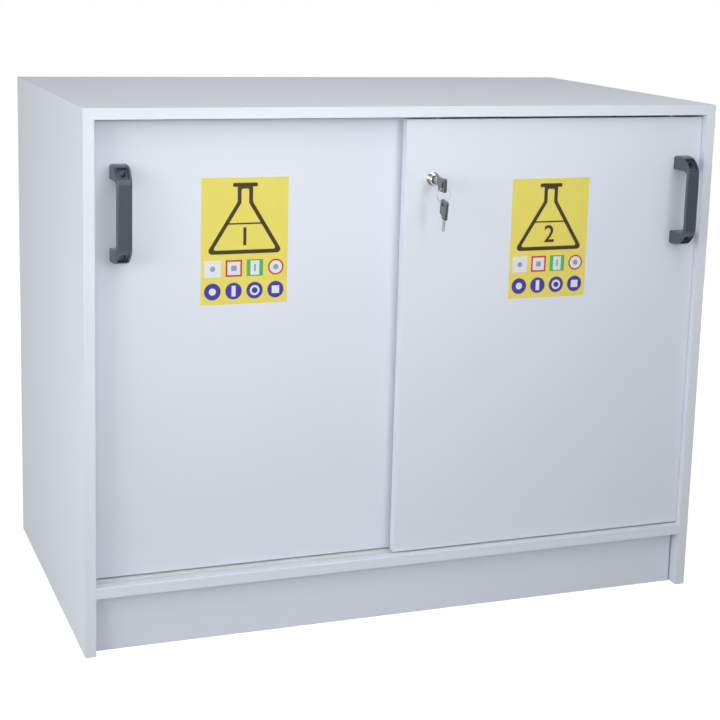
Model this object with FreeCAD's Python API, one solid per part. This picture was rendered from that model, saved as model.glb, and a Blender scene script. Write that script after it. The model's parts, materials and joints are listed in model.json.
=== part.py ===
import FreeCAD, Part
import math
import os

# A low white cabinet with two overlapping sliding doors, a push lock and two keys on a ring.
# Millimetres. +X is to the right of someone facing the doors, +Y goes to the back, +Z is up.
# While it is built, the front edges of the boards lie at y = 0 and the floor at z = 0.
# The export moves the whole along Y, so that the origin is under the middle of the overall box.

V = FreeCAD.Vector

# Carcass
WIDTH = 1130.0
DEPTH = 645.0
HEIGHT = 900.0
BOARD = 18.0
BAND = 1.0                 # edge band
BASE_BAND = 2.0            # thicker, rounded band of the bottom board
BASE_BAND_ROUND = 1.8
PLINTH_HEIGHT = 100.0
PLINTH_SETBACK = 23.0
PLINTH_END_GAP = 3.0
REAR_PLINTH_SETBACK = 42.0
BACK_THICKNESS = 8.0
BACK_SETBACK = 12.0        # from the rear edge to the back panel
GROOVE_DEPTH = 8.0
GROOVE_PLAY = 0.5
PARTITION_FRONT = 62.0
SHELF_FRONT = 92.0
SHELF_TOP = 518.0
SHELF_PLAY = 0.5

SIDE_IN = WIDTH / 2 - BOARD            # inner faces of the side panels, at plus and minus this
BASE_TOP = PLINTH_HEIGHT + BOARD
TOP_UNDER = HEIGHT - BOARD
BACK_FRONT = DEPTH - BACK_SETBACK - BACK_THICKNESS

# Sliding doors
DOOR_FRONT_Y = 12.0        # face of the front, right-hand door
DOOR_PITCH = 25.0          # from one door's face to the other's
DOOR_BOTTOM = 121.0
DOOR_TOP = 877.5
DOOR_SIDE_GAP = 0.6
DOOR_EDGE_X = 22.0         # how far each door passes the middle
DOOR_TRAVEL = 455.0
RUNNER_INSET = 60.0        # rollers and top guides, from the door's vertical edges

RIGHT_DOOR_Y = DOOR_FRONT_Y
LEFT_DOOR_Y = DOOR_FRONT_Y + DOOR_PITCH
DOOR_X0 = {"left": -SIDE_IN + DOOR_SIDE_GAP, "right": -DOOR_EDGE_X}
DOOR_X1 = {"left": DOOR_EDGE_X, "right": SIDE_IN - DOOR_SIDE_GAP}
DOOR_Y = {"left": LEFT_DOOR_Y, "right": RIGHT_DOOR_Y}

# Tracks, rollers and guides
TRACK_FRONT = 9.0
TRACK_BACK = 58.0
BOTTOM_TRACK_DEPTH = 6.0
BOTTOM_TRACK_PROUD = 0.5
TOP_TRACK_DEPTH = 9.0
TOP_GROOVE_WIDTH = 8.0
TOP_GROOVE_DEPTH = 7.0
BOTTOM_GROOVE_WIDTH = 6.0
BOTTOM_GROOVE_DEPTH = 4.0
TRACK_SCREWS = 5           # in the top track. The bottom track is pressed into its rebate.
TRACK_SCREW_INSET = 50.0
TRACK_SCREW_LENGTH = 15.0
WHEEL_RADIUS = 10.0
WHEEL_WIDTH = 4.5
WHEEL_CHAMFER = 0.6
WHEEL_CLEARANCE = 0.3
AXLE_RADIUS = 1.5
AXLE_PLAY = 0.05
HOUSING_LENGTH = 56.0
HOUSING_WIDTH = 10.0
HOUSING_HEIGHT = 18.0
HOUSING_WALL = 1.5
HOUSING_END = 12.0
GUIDE_SLEEVE_RADIUS = 6.0
GUIDE_SLEEVE_DEPTH = 22.0
GUIDE_NOSE_RADIUS = 3.2
GUIDE_NOSE_TOP = 887.5
STOP_LENGTH = 10.0
STOP_GAP = 0.3
STOP_RISE = 1.0            # from the track's lower face

# Handles
HANDLE_LENGTH = 158.0
HANDLE_DOOR_WIDTH = 29.4   # where it stands on the door
HANDLE_FRONT_WIDTH = 25.4
HANDLE_REACH = 45.0
HANDLE_FOOT = 23.5         # height of a foot
GRIP_THICKNESS = 13.0      # along the middle
GRIP_SIDE = 4.0            # along both sides
GRIP_BACK_WIDTH = 11.0     # the flat strip along the back of the grip
GRIP_BACK_ROUND = 8.0
SHOULDER_START = 23.5      # each end slopes from this reach
SHOULDER_DROP = 20.0       # down by this much to the grip's front
SHOULDER_ROUND = 30.0
FRONT_ROUND = 24.0
INNER_ROUND = 7.0
HANDLE_EASE = 4.5
HANDLE_Z = 730.0
HANDLE_X = {"left": -501.3, "right": 507.7}
HANDLE_SCREW_SPACING = 133.0
HANDLE_SCREW_RADIUS = 3.0
HANDLE_SCREW_BITE = 15.0   # into the door
HANDLE_SCREW_HEAD = 4.5
HANDLE_SCREW_HEAD_RADIUS = 5.0
HANDLE_SCREW_EASE = 1.5
SOCKET_RADIUS = 2.9
SOCKET_DEPTH = 2.6
SCREW_FLOOR = 21.5         # the screw's seat, from the door's face
COUNTERBORE_RADIUS = 5.3
POCKET_WIDTH = 17.5
POCKET_TOP = 3.6           # under the handle's end
POCKET_HEIGHT = 16.4
POCKET_DEPTH = 4.0         # square to the slope
POCKET_CORNER = 1.5

# Labels
LABEL_WIDTH = 148.0
LABEL_HEIGHT = 210.0
LABEL_THICKNESS = 0.3
LABEL_CORNER = {"left": (-366.5, 573.0), "right": (177.5, 563.5)}

# Push lock
LOCK_X = 28.0
LOCK_Z = 777.0
COLLAR_RADIUS = 12.0
COLLAR_THICKNESS = 1.5
COLLAR_EASE = 0.8
SLEEVE_RADIUS = 11.3
BARREL_RADIUS = 9.4
BARREL_PLAY = 0.06
BARREL_PROUD = 12.5
BARREL_LENGTH = 19.5
BARREL_CHAMFER = 1.4
BOLT_RADIUS = 4.0
BOLT_PLAY = 0.3
BOLT_TIP = 27.5            # how far back the bolt reaches when it is drawn
LOCK_CAP_RADIUS = 15.0
LOCK_CAP_THICKNESS = 2.3
CAP_SCREW_Z = 13.0
CAP_SCREW_LENGTH = 12.0
CAP_SCREW_HEAD = 2.2
CAP_SCREW_SHANK = 1.0
PLUG_RADIUS = 5.5
PLUG_PLAY = 0.05
PLUG_LENGTH = 18.2
PLUG_PROUD = 0.3
PLUG_REAR_WALL = 1.5
SPRING_RADIUS = 6.6
SPRING_WIRE = 0.8
SPRING_TURNS = 2
SPRING_PIECES = 6          # per turn
SPRING_END_GAP = 0.1

# Strike plate on the rear door's closing edge
STRIKE_WIDTH = 14.0
STRIKE_HEIGHT = 48.0
STRIKE_THICKNESS = 1.5
STRIKE_CORNER = 3.0
STRIKE_SCREW_Z = 15.0
STRIKE_SCREW_LENGTH = 16.0

# Keys, measured from the door's face where they stick out
KEY_BLADE_THICKNESS = 2.0
KEY_BLADE_HEIGHT = 7.5
KEY_BLADE_LENGTH = 22.0
KEY_SLOT_PLAY = 0.1
KEY_BLADE_TANG = 8.0       # inside the head
KEY_TIP_TOP = 2.5          # length of the tip's upper and lower slopes
KEY_TIP_BOTTOM = 2.0
KEY_TIP_HIGH = 0.5         # its flat point, from the blade's middle
KEY_TIP_LOW = -0.8
KEY_CUTS = (0.9, 1.7, 1.2, 1.9)
KEY_FIRST_CUT = 4.2
KEY_CUT_PITCH = 3.0
KEY_CUT_WIDTH = 1.6
KEY_HEAD_THICKNESS = 5.4
KEY_NECK_START = 23.0
KEY_NECK_LENGTH = 3.0
KEY_NECK_HEIGHT = 14.0
KEY_BOW_LENGTH = 28.0
KEY_BOW_HEIGHT = 23.5
KEY_BOW_DROP = KEY_BOW_HEIGHT / 2 - KEY_NECK_HEIGHT / 2    # from the blade's middle down to the bow's
KEY_BOTTOM_SLOPE = 4.0
KEY_CORNER = 3.0
KEY_EASE = 1.1
KEY_HOLE_MARGIN = 3.2
KEY_HOLE_WIDTH = 6.0
KEY_HOLE_LENGTH = 14.0
RING_RADIUS = 11.8
RING_WIRE = 0.7
RING_HANG = 7.0            # ring centre under the middle of the bar that it hangs on
SPARE_OFFSET = 5.0         # along the spare key's hole
SPARE_TILT = 9.0
SPARE_CLEARANCE = 1.45     # from the wire's middle to the top of the spare key's hole

# Screws, fittings and trays
SCREW_HEAD = 3.5           # radii of a countersunk screw
SCREW_SHANK = 1.75
SCREW_CROSS_SPAN = 1.1     # of the head's radius
SCREW_CROSS_WIDTH = 0.7
SCREW_CROSS_DEPTH = 1.1
CAM_RADIUS = 7.5
CAM_DEPTH = 12.5
CAM_CROSS_SPAN = 9.0
CAM_CROSS_WIDTH = 1.6
CAM_CROSS_DEPTH = 1.9
CAM_INSET = 34.0
CAM_BOLT_RADIUS = 3.0
CAM_BOLT_LAP = 3.0         # how far a bolt's head reaches into its disc
BITE = 11.0                # how deep bolts and dowels go into a board's face
CAM_Y = (110.0, 330.0, 560.0)
DOWEL_RADIUS = 4.0
DOWEL_LENGTH = 30.0
DOWEL_Y = (160.0, 500.0)
PIN_RADIUS = 2.5
PIN_DEPTH = 8.0
PIN_REACH = 7.0
PIN_END_GAP = 0.4          # between two pins that share a hole through the partition
PIN_PITCH = 32.0
PIN_Y = (130.0, 565.0)
PIN_ROWS = (-2, -1, 0, 1, 2)
TRAY_WALL = 3.0
TRAY_LIP = 6.0
TRAY_CORNER = 18.0
TRAY_GAP = 5.0
BASE_TRAY_FRONT = 83.0
SHELF_TRAY_FRONT = 95.0
BASE_TRAY_HEIGHT = 60.0
SHELF_TRAY_HEIGHT = 45.0
BLOCK_SIZE = 20.0
BLOCK_LENGTH = 34.0
BLOCK_HOLE_X = 9.0
BLOCK_HOLE_RADIUS = 2.0
BLOCK_X = (-380.0, 0.0, 380.0)

parts = {}


def box(x0, y0, z0, x1, y1, z1):
    return Part.makeBox(x1 - x0, y1 - y0, z1 - z0, V(x0, y0, z0))


def rod(radius, length, base, direction):
    return Part.makeCylinder(radius, length, V(*base), V(*direction))


def fuse(shapes):
    whole = shapes[0].multiFuse(shapes[1:]) if len(shapes) > 1 else shapes[0]
    return whole.removeSplitter()


def group(shapes):
    return Part.makeCompound(shapes)


def extrude(points, vector):
    corners = [V(*point) for point in points]
    return Part.Face(Part.makePolygon(corners + [corners[0]])).extrude(V(*vector))


def edges_along(shape, axis, test):
    """Straight edges parallel to an axis whose middle passes the test."""
    found = []
    for edge in shape.Edges:
        if edge.Curve.TypeId != "Part::GeomLine":
            continue
        way = edge.Vertexes[1].Point - edge.Vertexes[0].Point
        if way.Length < 1e-6 or abs(abs(way.normalize().dot(V(*axis))) - 1) > 1e-6:
            continue
        if test(edge.CenterOfMass):
            found.append(edge)
    return found


def circles_at(shape, y):
    """Round edges that lie in the upright plane at y."""
    return [edge for edge in shape.Edges
            if edge.Curve.TypeId == "Part::GeomCircle" and abs(edge.CenterOfMass.y - y) < 1e-3]


def recessed(shape, base, direction, length, width, depth):
    """The shape with a cross recess cut into it at base, along direction."""
    turned = FreeCAD.Rotation(V(0, 0, 1), V(*direction))
    for angle in (0, 90):
        slot = Part.makeBox(length, width, depth + 0.1, V(-length / 2, -width / 2, -0.1))
        slot.rotate(V(0, 0, 0), V(0, 0, 1), angle)
        slot.Placement = FreeCAD.Placement(V(*base), turned).multiply(slot.Placement)
        shape = shape.cut(slot)
    return shape


def screw_seat(base, direction, length, head=SCREW_HEAD, shank=SCREW_SHANK):
    """The space that a countersunk screw fills: base is the middle of its head's face."""
    way = V(*direction)
    cone = Part.makeCone(head, shank, head - shank, V(*base), way)
    return cone.fuse(Part.makeCylinder(shank, length, V(*base), way)).removeSplitter()


def countersunk_screw(base, direction, length, head=SCREW_HEAD, shank=SCREW_SHANK):
    body = screw_seat(base, direction, length, head, shank)
    return recessed(body, base, direction, head * SCREW_CROSS_SPAN, SCREW_CROSS_WIDTH, SCREW_CROSS_DEPTH)


# Fittings that sit in the boards. Their shapes are cut from the boards that they sit in.

def cam_disc(base, direction):
    disc = rod(CAM_RADIUS, CAM_DEPTH, base, direction)
    return recessed(disc, base, direction, CAM_CROSS_SPAN, CAM_CROSS_WIDTH, CAM_CROSS_DEPTH)


def carcass_fittings():
    """Cam discs, cam bolts and dowels. Returns the space that they fill in the boards."""
    bolt_length = CAM_INSET - CAM_RADIUS + CAM_BOLT_LAP + BITE
    bolt_start = CAM_RADIUS - CAM_BOLT_LAP
    base_middle = PLINTH_HEIGHT + BOARD / 2
    discs = []
    disc_seats = []
    bolts = []
    dowels = []
    for side in (-1, 1):
        panel_middle = side * (SIDE_IN + BOARD / 2)
        up, outwards = (0, 0, 1), (side, 0, 0)
        for y in CAM_Y:
            # Discs in the side panels' inner faces hold the top, and discs under the bottom board the sides.
            x = side * (SIDE_IN - CAM_INSET)
            z = TOP_UNDER - CAM_INSET
            for place in (((side * SIDE_IN, y, z), outwards), ((x, y, PLINTH_HEIGHT), up)):
                disc_seats.append(rod(CAM_RADIUS, CAM_DEPTH, *place))
                discs.append(cam_disc(*place))
            bolts.append(rod(CAM_BOLT_RADIUS, bolt_length, (panel_middle, y, z + bolt_start), up))
            bolts.append(rod(CAM_BOLT_RADIUS, bolt_length, (x + side * bolt_start, y, base_middle), outwards))
        for y in DOWEL_Y:
            below = DOWEL_LENGTH - BITE
            x = side * (SIDE_IN - below)
            dowels.append(rod(DOWEL_RADIUS, DOWEL_LENGTH, (panel_middle, y, TOP_UNDER - below), up))
            dowels.append(rod(DOWEL_RADIUS, DOWEL_LENGTH, (x, y, base_middle), outwards))
    for y in DOWEL_Y:
        dowels.append(rod(DOWEL_RADIUS, DOWEL_LENGTH, (0, y, TOP_UNDER - DOWEL_LENGTH + BITE), (0, 0, 1)))
        dowels.append(rod(DOWEL_RADIUS, DOWEL_LENGTH, (0, y, BASE_TOP - BITE), (0, 0, 1)))
    rods = group(bolts)
    parts["cam_fittings"] = group([disc.cut(rods) for disc in discs] + bolts)
    parts["wood_dowels"] = group(dowels)
    return group(disc_seats + bolts + dowels)


def pin_holes(x, direction, depth):
    holes = []
    for row in PIN_ROWS:
        z = SHELF_TOP - BOARD - PIN_RADIUS + row * PIN_PITCH
        for y in PIN_Y:
            holes.append(rod(PIN_RADIUS, depth, (x, y, z), direction))
    return group(holes)


def back_groove():
    """The space of the groove that the back panel stands in, on all four sides."""
    reach = SIDE_IN + GROOVE_DEPTH
    return box(-reach, BACK_FRONT, BASE_TOP - GROOVE_DEPTH, reach, BACK_FRONT + BACK_THICKNESS,
               TOP_UNDER + GROOVE_DEPTH)


def carcass(seats):
    groove = back_groove()
    bands = []
    for name, side in (("left", -1), ("right", 1)):
        x0, x1 = sorted((side * SIDE_IN, side * WIDTH / 2))
        panel = box(x0, BAND, 0, x1, DEPTH, TOP_UNDER)
        panel = panel.cut(groove).cut(seats).cut(pin_holes(side * SIDE_IN, (side, 0, 0), PIN_DEPTH))
        parts[name + "_side_panel"] = panel
        bands.append(box(x0, 0, 0, x1, BAND, TOP_UNDER))

    half = WIDTH / 2
    top = box(-half + BAND, BAND, TOP_UNDER, half - BAND, DEPTH, HEIGHT)
    rebate = box(-SIDE_IN, TRACK_FRONT, TOP_UNDER, SIDE_IN, TRACK_BACK, TOP_UNDER + TOP_TRACK_DEPTH)
    parts["top_panel"] = top.cut(groove).cut(seats).cut(rebate)
    bands.append(box(-half, 0, TOP_UNDER, half, BAND, HEIGHT))
    for x0 in (-half, half - BAND):
        bands.append(box(x0, BAND, TOP_UNDER, x0 + BAND, DEPTH, HEIGHT))

    base = box(-SIDE_IN, BASE_BAND, PLINTH_HEIGHT, SIDE_IN, DEPTH, BASE_TOP)
    rebate = box(-SIDE_IN, TRACK_FRONT, BASE_TOP - BOTTOM_TRACK_DEPTH, SIDE_IN, TRACK_BACK, BASE_TOP)
    parts["base_panel"] = base.cut(groove).cut(seats).cut(rebate)
    band = box(-SIDE_IN, 0, PLINTH_HEIGHT, SIDE_IN, BASE_BAND, BASE_TOP)
    nose = edges_along(band, (1, 0, 0), lambda p: p.y < 1e-3 and p.z > BASE_TOP - 1e-3)
    bands.append(band.makeFillet(BASE_BAND_ROUND, nose))
    parts["carcass_edge_bands"] = group(bands)

    reach = SIDE_IN + GROOVE_DEPTH - GROOVE_PLAY
    parts["back_panel"] = box(-reach, BACK_FRONT, BASE_TOP - GROOVE_DEPTH + GROOVE_PLAY, reach,
                              BACK_FRONT + BACK_THICKNESS, TOP_UNDER + GROOVE_DEPTH - GROOVE_PLAY)

    parts["plinth_board"] = box(-SIDE_IN, PLINTH_SETBACK, 0, SIDE_IN - PLINTH_END_GAP,
                                PLINTH_SETBACK + BOARD, PLINTH_HEIGHT)
    rear = DEPTH - REAR_PLINTH_SETBACK
    parts["rear_plinth_board"] = box(-SIDE_IN, rear - BOARD, 0, SIDE_IN, rear, PLINTH_HEIGHT)

    half = BOARD / 2
    partition = box(-half, PARTITION_FRONT + BAND, BASE_TOP, half, BACK_FRONT, TOP_UNDER)
    partition = partition.cut(seats).cut(pin_holes(-half, (1, 0, 0), BOARD))
    parts["centre_partition"] = partition


def plinth_blocks():
    """Corner blocks that tie both plinth boards to the bottom board."""
    blocks = []
    front_back = PLINTH_SETBACK + BOARD
    rear_front = DEPTH - REAR_PLINTH_SETBACK - BOARD
    for x in BLOCK_X:
        for y0 in (front_back, rear_front - BLOCK_SIZE):
            block = box(x - BLOCK_LENGTH / 2, y0, PLINTH_HEIGHT - BLOCK_SIZE,
                        x + BLOCK_LENGTH / 2, y0 + BLOCK_SIZE, PLINTH_HEIGHT)
            for dx in (-BLOCK_HOLE_X, BLOCK_HOLE_X):
                base = (x + dx, y0 + BLOCK_SIZE / 2, PLINTH_HEIGHT - BLOCK_SIZE)
                block = block.cut(rod(BLOCK_HOLE_RADIUS, BLOCK_SIZE, base, (0, 0, 1)))
            blocks.append(block)
    parts["plinth_blocks"] = group(blocks)


def shelves():
    half = BOARD / 2
    bands = [box(-half, PARTITION_FRONT, BASE_TOP, half, PARTITION_FRONT + BAND, TOP_UNDER)]
    pins = []
    for name, side in (("left", -1), ("right", 1)):
        near, far = side * (BOARD / 2 + SHELF_PLAY), side * (SIDE_IN - SHELF_PLAY)
        x0, x1 = sorted((near, far))
        back = BACK_FRONT - SHELF_PLAY
        z0 = SHELF_TOP - BOARD
        parts[name + "_shelf"] = box(x0, SHELF_FRONT + BAND, z0, x1, back, SHELF_TOP)
        bands.append(box(x0, SHELF_FRONT, z0, x1, SHELF_FRONT + BAND, SHELF_TOP))
        for y in PIN_Y:
            z = z0 - PIN_RADIUS
            outer = side * (SIDE_IN + PIN_DEPTH)
            pins.append(rod(PIN_RADIUS, PIN_DEPTH + PIN_REACH, (outer, y, z), (-side, 0, 0)))
            inner = side * PIN_END_GAP / 2
            length = (BOARD - PIN_END_GAP) / 2 + PIN_REACH
            pins.append(rod(PIN_RADIUS, length, (inner, y, z), (side, 0, 0)))
    parts["shelf_pins"] = group(pins)
    parts["inner_edge_bands"] = group(bands)


def upright_block(corner_radius, *corners):
    """A box whose four upright edges are rounded."""
    block = box(*corners)
    return block.makeFillet(corner_radius, edges_along(block, (0, 0, 1), lambda p: True))


def tray(x0, x1, y0, y1, z0, height):
    """An open plastic tray: a rounded shell with a flat lip round its rim."""
    lip = TRAY_LIP
    wall = TRAY_LIP + TRAY_WALL
    top = z0 + height
    body = upright_block(TRAY_CORNER, x0 + lip, y0 + lip, z0, x1 - lip, y1 - lip, top)
    rim = upright_block(TRAY_CORNER + lip, x0, y0, top - TRAY_WALL, x1, y1, top)
    inside = upright_block(TRAY_CORNER - TRAY_WALL, x0 + wall, y0 + wall, z0 + TRAY_WALL,
                           x1 - wall, y1 - wall, top + 1)
    return fuse([body, rim]).cut(inside)


def trays():
    for name, side in (("left", -1), ("right", 1)):
        x0, x1 = sorted((side * (BOARD / 2 + TRAY_GAP), side * (SIDE_IN - TRAY_GAP)))
        y1 = BACK_FRONT - TRAY_GAP
        parts[name + "_base_tray"] = tray(x0, x1, BASE_TRAY_FRONT, y1, BASE_TOP, BASE_TRAY_HEIGHT)
        parts[name + "_shelf_tray"] = tray(x0, x1, SHELF_TRAY_FRONT, y1, SHELF_TOP, SHELF_TRAY_HEIGHT)


# Tracks

def groove_middles():
    return [y + BOARD / 2 for y in (RIGHT_DOOR_Y, LEFT_DOOR_Y)]


def tracks():
    end = SIDE_IN
    bottom_top = BASE_TOP + BOTTOM_TRACK_PROUD
    bottom = box(-end, TRACK_FRONT, BASE_TOP - BOTTOM_TRACK_DEPTH, end, TRACK_BACK, bottom_top)
    top = box(-end, TRACK_FRONT, TOP_UNDER, end, TRACK_BACK, TOP_UNDER + TOP_TRACK_DEPTH)
    for y in groove_middles():
        half = BOTTOM_GROOVE_WIDTH / 2
        floor = BASE_TOP - BOTTOM_GROOVE_DEPTH
        bottom = bottom.cut(box(-end - 1, y - half, floor, end + 1, y + half, bottom_top + 1))
        half = TOP_GROOVE_WIDTH / 2
        roof = TOP_UNDER + TOP_GROOVE_DEPTH
        top = top.cut(box(-end - 1, y - half, TOP_UNDER - 1, end + 1, y + half, roof))
    screws = []
    seats = []
    y = (TRACK_FRONT + TRACK_BACK) / 2
    for index in range(TRACK_SCREWS):
        x = -end + TRACK_SCREW_INSET + index * 2 * (end - TRACK_SCREW_INSET) / (TRACK_SCREWS - 1)
        place = ((x, y, TOP_UNDER), (0, 0, 1), TRACK_SCREW_LENGTH)
        screws.append(countersunk_screw(*place))
        seats.append(screw_seat(*place))
    seats = group(seats)
    parts["bottom_track"] = bottom
    parts["top_track"] = top.cut(seats)
    parts["top_panel"] = parts["top_panel"].cut(seats)
    parts["track_screws"] = group(screws)

    # A stop in each top groove ends a door's travel just before a handle meets the other door's edge.
    guide = DOOR_X1["left"] - RUNNER_INSET + DOOR_TRAVEL + GUIDE_NOSE_RADIUS + STOP_GAP
    front_y, rear_y = groove_middles()
    half = TOP_GROOVE_WIDTH / 2
    z0, z1 = TOP_UNDER + STOP_RISE, TOP_UNDER + TOP_GROOVE_DEPTH
    rear_stop = box(guide, rear_y - half, z0, guide + STOP_LENGTH, rear_y + half, z1)
    front_stop = box(-guide - STOP_LENGTH, front_y - half, z0, -guide, front_y + half, z1)
    parts["track_stops"] = group([rear_stop, front_stop])


# Doors

def roller_places(side):
    return (DOOR_X0[side] + RUNNER_INSET, DOOR_X1[side] - RUNNER_INSET)


def door(side, cuts):
    """A door board, edge band, rollers, top guides and label. The cuts are for what is fixed to the board."""
    x0, x1, y = DOOR_X0[side], DOOR_X1[side], DOOR_Y[side]
    whole = box(x0, y, DOOR_BOTTOM, x1, y + BOARD, DOOR_TOP)
    core = box(x0 + BAND, y, DOOR_BOTTOM + BAND, x1 - BAND, y + BOARD, DOOR_TOP - BAND)
    middle = y + BOARD / 2
    half_l, half_w = HOUSING_LENGTH / 2, HOUSING_WIDTH / 2
    hollow_l, hollow_w = half_l - HOUSING_END, half_w - HOUSING_WALL
    seats = list(cuts)
    housings = []
    axles = []
    guides = []
    wheel_z = BASE_TOP - BOTTOM_GROOVE_DEPTH + WHEEL_CLEARANCE + WHEEL_RADIUS
    for number, x in enumerate(roller_places(side), start=1):
        top = DOOR_BOTTOM + HOUSING_HEIGHT
        block = box(x - half_l, middle - half_w, DOOR_BOTTOM, x + half_l, middle + half_w, top)
        seats.append(block)
        hollow = box(x - hollow_l, middle - hollow_w, DOOR_BOTTOM - 1, x + hollow_l, middle + hollow_w,
                     top - HOUSING_WALL)
        axle = rod(AXLE_RADIUS, HOUSING_WIDTH, (x, middle - half_w, wheel_z), (0, 1, 0))
        housings.append(block.cut(hollow).cut(axle))
        axles.append(axle)
        wheel = rod(WHEEL_RADIUS, WHEEL_WIDTH, (x, middle - WHEEL_WIDTH / 2, wheel_z), (0, 1, 0))
        rims = [edge for edge in wheel.Edges if edge.Curve.TypeId == "Part::GeomCircle"]
        wheel = wheel.makeChamfer(WHEEL_CHAMFER, rims)
        bore = rod(AXLE_RADIUS + AXLE_PLAY, HOUSING_WIDTH, (x, middle - half_w, wheel_z), (0, 1, 0))
        parts["%s_door_wheel_%d" % (side, number)] = wheel.cut(bore)
        sleeve_base = (x, middle, DOOR_TOP - GUIDE_SLEEVE_DEPTH)
        sleeve = rod(GUIDE_SLEEVE_RADIUS, GUIDE_SLEEVE_DEPTH, sleeve_base, (0, 0, 1))
        seats.append(sleeve)
        nose = rod(GUIDE_NOSE_RADIUS, GUIDE_NOSE_TOP - sleeve_base[2], sleeve_base, (0, 0, 1))
        guides.append(fuse([sleeve, nose]))
    seats = group(seats)
    parts[side + "_door_panel"] = core.cut(seats)
    parts[side + "_door_edge_band"] = whole.cut(core).cut(seats)
    parts[side + "_roller_housings"] = group(housings)
    parts[side + "_roller_axles"] = group(axles)
    parts[side + "_top_guides"] = group(guides)

    lx, lz = LABEL_CORNER[side]
    parts[side + "_label"] = box(lx, y - LABEL_THICKNESS, lz, lx + LABEL_WIDTH, y, lz + LABEL_HEIGHT)


def handle_screw(x, y, z):
    """A button-head socket screw that stands on its seat in a foot, and the space of its shank."""
    seat = y - SCREW_FLOOR
    shank = rod(HANDLE_SCREW_RADIUS, SCREW_FLOOR + HANDLE_SCREW_BITE, (x, seat, z), (0, 1, 0))
    front = seat - HANDLE_SCREW_HEAD
    head = rod(HANDLE_SCREW_HEAD_RADIUS, HANDLE_SCREW_HEAD, (x, front, z), (0, 1, 0))
    head = head.makeFillet(HANDLE_SCREW_EASE, circles_at(head, front))
    corners = []
    for angle in range(0, 360, 60):
        turn = math.radians(angle)
        corners.append((x + SOCKET_RADIUS * math.cos(turn), front - 0.1, z + SOCKET_RADIUS * math.sin(turn)))
    return fuse([head.cut(extrude(corners, (0, SOCKET_DEPTH, 0))), shank]), shank


def handle_half_width(reach):
    return (HANDLE_DOOR_WIDTH + (HANDLE_FRONT_WIDTH - HANDLE_DOOR_WIDTH) * reach / HANDLE_REACH) / 2


def handle_plan(x, y):
    """The space between the handle's two leaning sides."""
    far, near = handle_half_width(0), handle_half_width(HANDLE_REACH)
    low = HANDLE_Z - HANDLE_LENGTH
    points = [(x - far, y, low), (x + far, y, low), (x + near, y - HANDLE_REACH, low),
              (x - near, y - HANDLE_REACH, low)]
    return extrude(points, (0, 0, 2 * HANDLE_LENGTH))


def finger_space(x, y):
    """The opening for the fingers. The back of the grip that it leaves slopes forward to both sides."""
    back = HANDLE_REACH - GRIP_THICKNESS
    near = GRIP_BACK_WIDTH / 2
    slope = (GRIP_THICKNESS - GRIP_SIDE) / (HANDLE_FRONT_WIDTH / 2 - near)
    far = HANDLE_DOOR_WIDTH / 2 + 1
    side = back + (far - near) * slope
    half = HANDLE_LENGTH / 2 - HANDLE_FOOT
    low = HANDLE_Z - half
    plan = [(far, -1), (far, side), (near, back), (-near, back), (-far, side), (-far, -1)]
    space = extrude([(x + across, y - reach, low) for across, reach in plan], (0, 0, 2 * half))
    long_edges = edges_along(space, (0, 0, 1), lambda p: abs(p.x - x) < near + 0.01)
    space = space.makeFillet(GRIP_BACK_ROUND, long_edges)
    ends = []
    for edge in space.Edges:
        middle = edge.CenterOfMass
        if abs(abs(middle.z - HANDLE_Z) - half) < 1e-3 and abs(middle.x - x) < far - 0.01 and middle.y < y:
            ends.append(edge)
    return space.makeFillet(INNER_ROUND, ends)


def pocket(x, y, sign):
    """A recess in a shoulder with its floor along the slope, and the counterbore for the screw's head."""
    end = HANDLE_LENGTH / 2
    rise = (HANDLE_REACH - SHOULDER_START) / SHOULDER_DROP
    floor_back = POCKET_DEPTH * math.hypot(1, rise)
    front = HANDLE_REACH + 1
    points = []
    for drop in (POCKET_TOP, POCKET_TOP + POCKET_HEIGHT):
        floor = SHOULDER_START + drop * rise - floor_back
        points.append([(x - POCKET_WIDTH / 2, y - reach, HANDLE_Z + sign * (end - drop))
                       for reach in (front, floor)])
    recess = extrude([points[0][0], points[0][1], points[1][1], points[1][0]], (POCKET_WIDTH, 0, 0))
    recess = recess.makeFillet(POCKET_CORNER, edges_along(recess, (0, 1, 0), lambda p: True))
    z = HANDLE_Z + sign * HANDLE_SCREW_SPACING / 2
    return recess, rod(COUNTERBORE_RADIUS, front - SCREW_FLOOR, (x, y - front, z), (0, 1, 0))


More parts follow.
